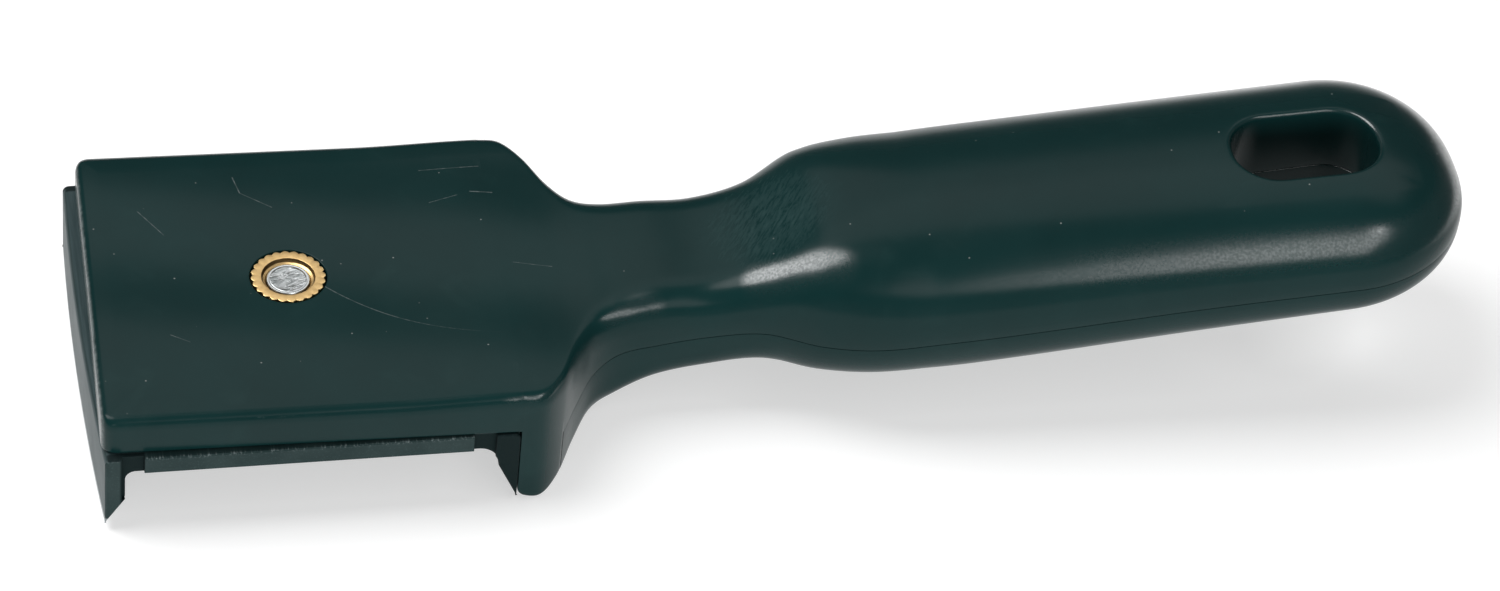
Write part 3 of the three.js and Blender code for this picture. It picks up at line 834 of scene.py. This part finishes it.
def pierce(skin, top, under, rings, foot, steps, centre=(0.0, 0.0)):
    """Line a hole with rings and a wall, and join them to the gaps that two grids leave round it."""
    first, last = skin.bridge(rings + walls_between(rings[-1], foot[0], steps) + foot)
    skin.stitch(gap_ring(*top), first, centre)
    skin.stitch(gap_ring(*under), last, centre)


slot_at, slot_out = outline(SLOT_HALF_LENGTH, SLOT_HALF_WIDTH, SLOT_CORNER)
slot = (slot_at + (SLOT_MIDDLE, 0.0), slot_out)
print("slot from", slot[0].min(axis=0).round(2), "to", slot[0].max(axis=0).round(2))

# %% [markdown]
# Both mouldings are grids of rows along the handle. The rows stand closer where the shape turns or is
# pierced: at the front corners, round the insert, on the guard, in the neck and over the grip's end. A
# grid leaves a rectangular gap round each hole, which the rings of the hole are stitched into.

# %% Rows along the handle
HOLE_ROWS = 9.6
STEP_GAP = 0.01
NECK_START = 39.0
SHOULDER_START = 64.0
GRIP_START = 100.0
CAP_TURN = 88.2
# What a grid leaves open round a hole: first and last place along the handle, reach to each side
HOLE_GAP = (-9.3, 9.3, 9.4)
SLOT_GAP = (137.8, 169.4, 11.6)


def curved_steps(start, length, count):
    return start + length * (1 - np.cos(np.linspace(0, math.pi / 2, count)))


def evenly(start, end, count):
    return np.linspace(start, end, count + 1)[1:]


def cap_steps(count):
    return CAP_START + CAP_LENGTH * np.sin(np.radians(evenly(0, CAP_TURN, count)))


grip_places = np.concatenate((
    evenly(NECK_START, SHOULDER_START, 46), evenly(SHOULDER_START, GRIP_START, 52),
    evenly(GRIP_START, CAP_START, 56), cap_steps(34)))
head_places = np.concatenate((
    curved_steps(HEAD_FRONT, HEAD_CORNER, 12), evenly(HEAD_FRONT + HEAD_CORNER, -HOLE_ROWS, 10),
    evenly(-HOLE_ROWS, HOLE_ROWS, 28), evenly(HOLE_ROWS, GUARD_FRONT - STEP_GAP, 20)))
guard_places = np.concatenate((
    curved_steps(GUARD_FRONT, GUARD_EDGE, 9), evenly(GUARD_FRONT + GUARD_EDGE, GUARD_REAR, 18)))
rear_places = np.concatenate((
    (GUARD_REAR + STEP_GAP, (GUARD_REAR + NECK_START) / 2, NECK_START), grip_places))


def gap_in(places, rows, middle, gap):
    first, last, reach = gap
    a, b, c = (int(np.searchsorted(places, place)) for place in (first, last, middle))
    inside = np.flatnonzero(np.abs(rows[c, :, 1]) <= reach)
    return a, b, int(inside[0]), int(inside[-1])


print("rows on the head, guard and rear:", len(head_places), len(guard_places), len(rear_places))

# %% [markdown]
# The upper moulding is the head, the guard and the upper half of the neck and grip. Its outside is one
# grid of rows along the handle. Underneath, the same rows run along the bottom of the head and the
# guard, and behind the guard along the flat face that meets the lower moulding.

# %% Upper moulding
UPPER_COUNT = 46
UNDER_COUNT = 22
SEAM_SHADOW = 0.06
INSERT_HOLE = 5.75


def upper_moulding():
    skin = Skin()
    places = np.concatenate((head_places, guard_places, rear_places))
    front = len(head_places) + len(guard_places)
    seam = [0.0 if i < front else SEAM_SHADOW for i in range(len(places))]
    above = np.array([arch(x, True, UPPER_COUNT, s) for x, s in zip(places, seam)])
    below = np.array([
        seam_row(x, UNDER_COUNT, s) if s else arch(x, False, UNDER_COUNT) for x, s in zip(places, seam)])
    top_gaps, under_gaps = (
        (gap_in(places, rows, 0.0, HOLE_GAP), gap_in(places, rows, SLOT_MIDDLE, SLOT_GAP))
        for rows in (above, below))
    top_ids = skin.grid(above, top_gaps)
    under_ids = skin.grid(below, under_gaps)
    hole = round_hole(INSERT_HOLE)
    rings = rim_rings(*hole, top_height, HOLE_RIM, (1.2, 0.3), -1)
    foot = rim_rings(*hole, lambda x, y: head_row(x)[3], HOLE_RIM, (1.2, 0.3), 1)[::-1]
    pierce(skin, (top_ids, top_gaps[0]), (under_ids, under_gaps[0]), rings, foot, 6)
    rings = rim_rings(*slot, top_height, SLOT_RIM, (1.4, 0.7), -1)
    foot = rim_rings(*slot, part_height, SEAM_RIM, (1.0,), 1)[::-1]
    pierce(skin, (top_ids, top_gaps[1]), (under_ids, under_gaps[1]), rings, foot, 10, (SLOT_MIDDLE, 0.0))
    for row, inset in ((0, 0.03), (-1, 0.0)):
        skin.close(np.concatenate((top_ids[row], under_ids[row][-2:0:-1])), inset)
    return skin


make_piece("upper_moulding", upper_moulding(), PLASTIC, "handle", "handle_upper_shell")

# %% [markdown]
# The lower moulding closes the neck and the grip from below. It uses the lower halves of the same
# sections, a hair lower, and it butts against the back of the guard. Both mouldings have their edges
# drawn in slightly at the parting line, so the joint shows as one fine dark line, as on the real tool.

# %% Lower moulding
def lower_moulding():
    skin = Skin()
    places = np.concatenate(((GUARD_REAR + SEAM_GAP, NECK_START), grip_places))
    above = np.array([seam_row(x, UNDER_COUNT, SEAM_SHADOW, SEAM_GAP) for x in places])
    below = np.array([arch(x, False, UPPER_COUNT, SEAM_SHADOW) for x in places])
    below[:, :, 2] -= SEAM_GAP
    top_gap, under_gap = (gap_in(places, rows, SLOT_MIDDLE, SLOT_GAP) for rows in (above, below))
    top_ids = skin.grid(above, (top_gap,))
    under_ids = skin.grid(below, (under_gap,))
    rings = rim_rings(*slot, lambda x, y: part_height(x, y, SEAM_GAP), SEAM_RIM, (1.0,), -1)
    foot = rim_rings(*slot, under_height, SLOT_RIM, (1.4, 0.7), 1)[::-1]
    pierce(skin, (top_ids, top_gap), (under_ids, under_gap), rings, foot, 8, (SLOT_MIDDLE, 0.0))
    for row in (0, -1):
        skin.close(np.concatenate((top_ids[row], under_ids[row][-2:0:-1])))
    return skin


make_piece("lower_moulding", lower_moulding(), PLASTIC, "handle", "handle_lower_shell")

# %% [markdown]
# The insert, screw and washers are turned parts, so they are outlines of radius and height swept round
# the axis. A function may change the radius as it goes round. That gives the insert its scalloped rim,
# rounded teeth with sharp valleys between them, and the screw its thread, a ridge that climbs one pitch
# a turn.

# %% Turned parts
def revolve(outline_points, steps, shape=None, closed=True):
    radius, height = np.asarray(outline_points, dtype=float).T
    angle = np.linspace(0, 2 * math.pi, steps, endpoint=False)
    r, a = np.meshgrid(radius, angle, indexing="ij")
    z = np.repeat(height[:, None], steps, axis=1)
    if shape is not None:
        r = shape(r, z, a)
    points = np.stack((r * np.cos(a), r * np.sin(a), z), axis=-1)
    if closed:
        points = np.concatenate((points, points[:1]))
    skin = Skin()
    skin.grid(points, round_trip=True)
    return skin


def rounded(corners, steps=4):
    """A closed outline of (radius, height, rounding) with its corners rounded."""
    points = []
    corners = np.asarray(corners, dtype=float)
    for before, here, after in zip(np.roll(corners, 1, axis=0), corners, np.roll(corners, -1, axis=0)):
        spot, size = here[:2], here[2]
        if size == 0:
            points.append(spot)
            continue
        inward = (before[:2] - spot) / np.linalg.norm(before[:2] - spot)
        onward = (after[:2] - spot) / np.linalg.norm(after[:2] - spot)
        for t in np.linspace(0, 1, steps + 1):
            points.append(spot + size * (inward * (1 - t) ** 2 + onward * t ** 2))
    return np.array(points)


INSERT_WAIST = 4.7
INSERT_BORE = 3.3
INSERT_BOTTOM = -6.0
TEETH = 24
TOOTH_DEPTH = 0.35
TOOTH_ROOT = 4.75


def scalloped(r, z, angle):
    valley = 1 - np.abs(np.cos(0.5 * TEETH * angle))
    return r - TOOTH_DEPTH * valley * np.clip((r - TOOTH_ROOT) / 0.5, 0, 1)


insert_outline = rounded((
    (INSERT_RADIUS, INSERT_BOTTOM, 0.2), (INSERT_RADIUS, -4.25, 0.1), (INSERT_WAIST, -3.8, 0.1),
    (INSERT_WAIST, -2.4, 0.1), (INSERT_RADIUS, -1.95, 0.1), (INSERT_RADIUS, 0.0, 0.14),
    (INSERT_MOUTH, 0.0, 0.1), (INSERT_MOUTH - 0.12, -0.62, 0.1), (INSERT_BORE + 0.12, -0.8, 0.08),
    (INSERT_BORE, -1.0, 0.05), (INSERT_BORE, INSERT_BOTTOM + 0.3, 0.1),
    (INSERT_BORE + 0.2, INSERT_BOTTOM, 0.1)))
make_piece("threaded_insert_turned", revolve(insert_outline, 10 * TEETH, scalloped), BRASS, "handle",
           "threaded_insert")

# %% [markdown]
# The plain washer spreads the clamp's force on the blade, and the split spring washer keeps the screw
# tight. The plain one is a ring with rounded edges. The spring washer isn't a full ring: its section
# is swept from one side of a slanted cut to the other.

# %% Washers
WASHER_BORE = 3.2
PLAIN_RADIUS = 9.0
PLAIN_TOP = -9.5
PLAIN_BOTTOM = -11.1
SPRING_RADIUS = 5.9
SPRING_TOP = -11.25
SPRING_BOTTOM = -12.85
SPRING_CUT = 0.8
SPRING_CUT_SLANT = math.tan(math.radians(25))


def washer_outline(radius, bottom, top, lower_edge=0.2, upper_edge=0.2):
    return rounded((
        (radius, bottom, lower_edge), (radius, top, upper_edge), (WASHER_BORE, top, 0.2),
        (WASHER_BORE, bottom, 0.2)))


def spring_washer():
    radius, height = washer_outline(SPRING_RADIUS, SPRING_BOTTOM, SPRING_TOP).T
    lean = SPRING_CUT_SLANT * (height - (SPRING_TOP + SPRING_BOTTOM) / 2)
    start = (SPRING_CUT / 2 - lean) / radius
    end = 2 * math.pi - (SPRING_CUT / 2 + lean) / radius
    angle = np.linspace(start, end, 81)
    z = np.broadcast_to(height, angle.shape)
    skin = Skin()
    points = np.stack((radius * np.cos(angle), radius * np.sin(angle), z), axis=-1)
    ids = skin.grid(points, round_trip=True)
    skin.close(ids[0])
    skin.close(ids[-1])
    return skin


plain_outline = washer_outline(PLAIN_RADIUS, PLAIN_BOTTOM, PLAIN_TOP, 0.25, 0.35)
make_piece("plain_washer_turned", revolve(plain_outline, 96), ZINC, "clamp", "plain_washer")
make_piece("spring_washer_coil", spring_washer(), ZINC, "clamp", "spring_washer")

# %% [markdown]
# The screw has a slotted cylinder head below the washers and an M6 thread above them. The thread runs
# out at the sawn end that shows in the insert. For the slot a boolean is the simple way: its walls are
# flat and hidden from the main view, so the faces it leaves don't matter. The blade's notches use the
# same cut.

# %% Clamp screw
# Radius and depth below the tip, from the burr round the sawn end to the middle of its face
SAWN_END = (
    (3.2, 0.3), (3.24, 0.14), (3.14, 0.03), (2.98, 0.0), (2.82, 0.04), (2.6, 0.1), (1.3, 0.06), (0.6, 0.1),
    (0.0, 0.08))
THREAD_DEPTH = 0.36
PITCH = 1.0
SHANK_BOTTOM = -12.6
SHANK_ROOT = -13.4
SCREW_HEAD_RADIUS = 5.0
SCREW_HEAD_TOP = -13.0
SCREW_BOTTOM = -16.9
DRIVER_SLOT = (14.0, 1.6, 4.0)
SCREW_STEPS = 72
SHANK_ROWS = 170


def threaded(r, z, angle):
    climb = (z / PITCH - angle / (2 * math.pi)) % 1.0
    ridge = np.clip(2.6 * np.abs(climb - 0.5) - 0.15, 0, 1)
    on_shank = np.clip((z - SHANK_BOTTOM) / 0.5, 0, 1) * (r > 2.2)
    fade = 1 - np.clip((z - SCREW_TIP + 0.5) / 0.25, 0, 1)
    return r - THREAD_DEPTH * ridge * on_shank * fade


def clamp_screw():
    head = rounded((
        (0.0, SCREW_BOTTOM, 0.0), (SCREW_HEAD_RADIUS, SCREW_BOTTOM, 0.5),
        (SCREW_HEAD_RADIUS, SCREW_HEAD_TOP, 0.25), (0.0, SCREW_HEAD_TOP, 0.0)), 5)
    shank_heights = np.linspace(SHANK_ROOT, SCREW_TIP - 0.45, SHANK_ROWS)
    shank = [(0.0, SHANK_ROOT)] + [(SCREW_RADIUS, z) for z in shank_heights]
    sawn_end = [(radius, SCREW_TIP - drop) for radius, drop in SAWN_END]
    skin = revolve(shank + sawn_end, SCREW_STEPS, threaded, closed=False)
    head_skin = revolve(head, SCREW_STEPS, closed=False)
    first = len(skin.points)
    skin.points.extend(head_skin.points)
    skin.faces.extend(tuple(first + i for i in face_ids) for face_ids in head_skin.faces)
    return skin


def cut_boxes(piece, boxes):
    """Cut boxes out of a piece; each box is its middle, its size and its turn in degrees."""
    work = bmesh.new()
    for middle, size, turn in boxes:
        matrix = Matrix.LocRotScale(Vector(in_metres(middle)), None, MM * Vector(size))
        turned = Matrix.Rotation(math.radians(turn), 4, "Z")
        about = Matrix.Translation(Vector(HEAD_MARK))
        bmesh.ops.create_cube(work, size=1.0, matrix=about @ turned @ about.inverted() @ matrix)
    mesh = bpy.data.meshes.new("cutter")
    work.to_mesh(mesh)
    work.free()
    cutter = bpy.data.objects.new("cutter", mesh)
    bpy.context.scene.collection.objects.link(cutter)
    modifier = piece.modifiers.new("cut", "BOOLEAN")
    modifier.operation = "DIFFERENCE"
    modifier.solver = "EXACT"
    modifier.use_self = True
    modifier.object = cutter
    bpy.context.view_layer.update()
    cut = bpy.data.meshes.new_from_object(piece.evaluated_get(bpy.context.evaluated_depsgraph_get()))
    piece.modifiers.clear()
    piece.data = cut
    bpy.data.objects.remove(cutter)
    cut.set_sharp_from_angle(angle=SMOOTH_BELOW)
    print(piece.name, "cut -", len(cut.polygons), "faces")


screw = make_piece("clamp_screw_threaded", clamp_screw(), ZINC, "screw", "clamp_screw")
cut_boxes(screw, (((0.0, 0.0, SCREW_BOTTOM), DRIVER_SLOT, 0.0),))

# %% [markdown]
# The blade is one strip of 3 mm steel bent down at both ends, with an edge ground on each lip, so it can
# be turned end for end when one edge is blunt. We draw the section of the sheet first: plate, bend, lip
# and bevel towards one end, and the same mirrored towards the other. The lips bow slightly, so the
# section changes a little from side to side.

# %% Section of the blade
SHEET = 3.0
LIP_REACH = 30.25
LIP_BOW = 0.85
LIP_SKEW = 0.55
INNER_BEND = 2.25
INNER_BEND_CHANGE = 0.75
BEVEL_START = 7.0
BEVEL_CHANGE = 0.9
EDGE_THICKNESS = 0.05
BEND_STEPS = 18
LIP_STEPS = 10
BEVEL_STEPS = 6
PLATE_PLACES = np.append(np.linspace(0, NOTCH_START - 0.5, 23), NOTCH_START + 0.2)


def lip_section(t):
    """Half of the sheet's section, from the screw to the edge: outer face, then inner face."""
    reach = LIP_REACH + LIP_BOW * (1 - t ** 2) + LIP_SKEW * t
    wall = reach - SHEET
    radius = INNER_BEND + INNER_BEND_CHANGE * t
    bevel = BEVEL_START - BEVEL_CHANGE * t
    straight = LIP_STEPS - BEVEL_STEPS
    flat = np.zeros(len(PLATE_PLACES))
    angle = np.linspace(0, math.pi / 2, BEND_STEPS + 1)
    out, down = 1 - np.sin(angle), 1 - np.cos(angle)
    outer_x = np.concatenate((PLATE_PLACES, reach - out, np.full(LIP_STEPS, reach)))
    outer_z = np.concatenate((flat, -down, evenly(-1.0, -LIP_DEPTH, LIP_STEPS)))
    inner_x = np.concatenate((
        PLATE_PLACES, wall - radius * out, np.full(straight, wall),
        evenly(wall, reach - EDGE_THICKNESS, BEVEL_STEPS)))
    inner_z = np.concatenate((
        flat - SHEET, -SHEET - radius * down, evenly(-SHEET - radius, -bevel, straight),
        evenly(-bevel, -LIP_DEPTH, BEVEL_STEPS)))
    return np.column_stack((outer_x, outer_z)), np.column_stack((inner_x, inner_z))


def mirrored(face):
    return (face * (-1.0, 1.0))[:0:-1]


def sheet_faces(t):
    pairs = zip(lip_section(t), lip_section(-t))
    return [np.vstack((mirrored(front), rear)) for front, rear in pairs]


def drawn_in(outer, inner, amount):
    """The section moved in from both faces, for the rounded sheared sides."""
    ring = np.vstack((outer, inner[::-1]))
    along = np.roll(ring, -1, axis=0) - np.roll(ring, 1, axis=0)
    along /= np.linalg.norm(along, axis=1)[:, None]
    inward = np.column_stack((along[:, 1], -along[:, 0]))
    moved = ring + amount * inward
    return moved[:len(outer)], moved[len(outer):][::-1]


print("section of the blade:", [len(face) for face in sheet_faces(0.0)], "points on its two faces")

# %% [markdown]
# The section is swept across the width of the blade, and the screw's hole is pierced through the middle.
# The sheared sides have their sharp corners taken off, and a small relief notch is cut beside each bend.
# As on the real tool, the blade is clamped about one degree askew.

# %% Blade
BLADE_HOLE = 3.3
SIDE_ROUNDING = 0.18
NOTCH_DEPTH = 0.7
# Last row before the side, reach of the finer rows, and reach of the gap at the hole, across and along
LAST_ROW = 29.0
FINE_ROWS = 5.0
BLADE_GAP = (5.05, 5.8)


def blade():
    skin = Skin()
    ends = np.array((BLADE_HALF_WIDTH - SIDE_ROUNDING, BLADE_HALF_WIDTH))
    places = np.concatenate((
        -ends[::-1], np.linspace(-LAST_ROW, -FINE_ROWS, 21), evenly(-FINE_ROWS, FINE_ROWS, 12),
        evenly(FINE_ROWS, LAST_ROW, 20), ends))
    outers, inners = [], []
    for k, y in enumerate(places):
        outer, inner = sheet_faces(y / BLADE_HALF_WIDTH)
        if k in (0, len(places) - 1):
            outer, inner = drawn_in(outer, inner, SIDE_ROUNDING)
        for face, kept in ((outer, outers), (inner, inners)):
            kept.append(np.column_stack((face[:, 0], np.full(len(face), y), BLADE_TOP + face[:, 1])))
    outers, inners = np.array(outers), np.array(inners)
    rows_in = np.flatnonzero(np.abs(places) <= BLADE_GAP[0])
    columns_in = np.flatnonzero(np.abs(outers[len(places) // 2, :, 0]) <= BLADE_GAP[1])
    gap = int(rows_in[0]), int(rows_in[-1]), int(columns_in[0]), int(columns_in[-1])
    outer_ids = skin.grid(outers, (gap,))
    inner_ids = skin.grid(inners, (gap,))
    for top, under in ((outer_ids[:, 0], inner_ids[:, 0]), (outer_ids[:, -1], inner_ids[:, -1]),
                       (outer_ids[0], inner_ids[0]), (outer_ids[-1], inner_ids[-1])):
        skin.faces.extend(zip(top, top[1:], under[1:], under))
    hole = round_hole(BLADE_HOLE)
    rings = rim_rings(*hole, lambda x, y: BLADE_TOP, HOLE_RIM, (0.4,), -1)
    foot = rim_rings(*hole, lambda x, y: BLADE_TOP - SHEET, HOLE_RIM, (0.4,), 1)[::-1]
    pierce(skin, (outer_ids, gap), (inner_ids, gap), rings, foot, 3)
    turn = np.array(Matrix.Rotation(math.radians(BLADE_SKEW), 3, "Z"))
    skin.points = list(np.array(skin.points) @ turn.T)
    return skin


bent = make_piece("blade_bent", blade(), BLADE_STEEL, "blade", "blade")
notch_middle = (NOTCH_START + NOTCH_END) / 2
notch_size = (NOTCH_END - NOTCH_START, 2 * NOTCH_DEPTH, 10.0)
cut_boxes(bent, [
    ((end * notch_middle, side * BLADE_HALF_WIDTH, BLADE_TOP - SHEET), notch_size, BLADE_SKEW)
    for end in (-1, 1) for side in (-1, 1)])

# %% [markdown]
# The floor is plain and white, and wide enough to fill the view. The camera should see pure white there,
# but the tool must not be flooded with light for it, so what the camera and reflections see of the floor
# has a glow added. The floor still takes the lamps' light, so the shadow under the tool stays. The
# surroundings give only a little even light, which keeps the dark sides of the tool dark.

# %% Floor and surroundings
def studio_floor():
    finish = Finish("studio_floor")
    seen = finish.node("ShaderNodeLightPath", out="Is Camera Ray")
    for ray in ("Is Glossy Ray", "Is Transmission Ray"):
        seen = seen.most(finish.node("ShaderNodeLightPath", out=ray))
    glow = finish.mix(seen, (0, 0, 0, 1), (1, 1, 1, 1))
    finish.set(Base_Color=(0.6, 0.6, 0.6, 1), Roughness=0.9, Specular_IOR_Level=0.0)
    finish.set(Emission_Color=glow, Emission_Strength=0.5)
    return finish.material


bpy.ops.mesh.primitive_plane_add(size=8.0, location=(0.0, 0.0, 0.0))
floor = bpy.context.object
floor.name = "studio_floor"
floor.data.materials.append(studio_floor())

world = bpy.data.worlds.new("pale_studio")
bpy.context.scene.world = world
world.use_nodes = True
background = world.node_tree.nodes["Background"]
background.inputs["Color"].default_value = (1, 1, 1, 1)
background.inputs["Strength"].default_value = 0.07
print("floor and surroundings ready")

# %% [markdown]
# A glossy dark part shows its lamps more than its own colour, so each lamp is placed where the tool
# mirrors it. The key lamp stands high ahead of the tool and makes the bright patch on the shoulder of the
# grip. A slanted strip lamp on the camera's side makes the streak along the grip and the glint on the
# neck, and a small lamp beyond it the spot at the grip's end. A wide soft box on the far side gives the
# flat top its sheen. A low fill lamp only lifts the near sides, so reflections leave it out.

# %% Lamps
def lamp(name, place_mm, target_mm, size_mm, power, roll=0.0, shape="RECTANGLE"):
    data = bpy.data.lights.new(name, "AREA")
    data.shape = shape
    data.size, data.size_y = (MM * s for s in size_mm)
    data.energy = power
    light = bpy.data.objects.new(name, data)
    spot, target = Vector(in_metres(place_mm)), Vector(in_metres(target_mm))
    light.location = spot
    aim = (target - spot).to_track_quat("-Z", "Y").to_matrix()
    light.rotation_euler = (aim @ Matrix.Rotation(math.radians(roll), 3, "Z")).to_euler()
    bpy.context.scene.collection.objects.link(light)
    return light


lamp("key_lamp", (-440, 190, 845), (73, -10, 7), (600, 1000), 9.2, shape="ELLIPSE")
lamp("strip_lamp", (295, -520, 670), (130, -10, 8), (620, 260), 1.25, 44)
lamp("end_lamp", (455, -275, 825), (165, 0, 10), (90, 90), 0.22, shape="ELLIPSE")
lamp("soft_box", (230, 540, 845), (100, 0, 5), (1100, 540), 2.15)
fill = lamp("fill_lamp", (60, -800, 130), (70, 0, 0), (1200, 260), 6.2)
fill.visible_glossy = False
bpy.context.scene.view_settings.view_transform = "Standard"
print("lamps:", ", ".join(o.name for o in bpy.data.objects if o.type == "LIGHT"))
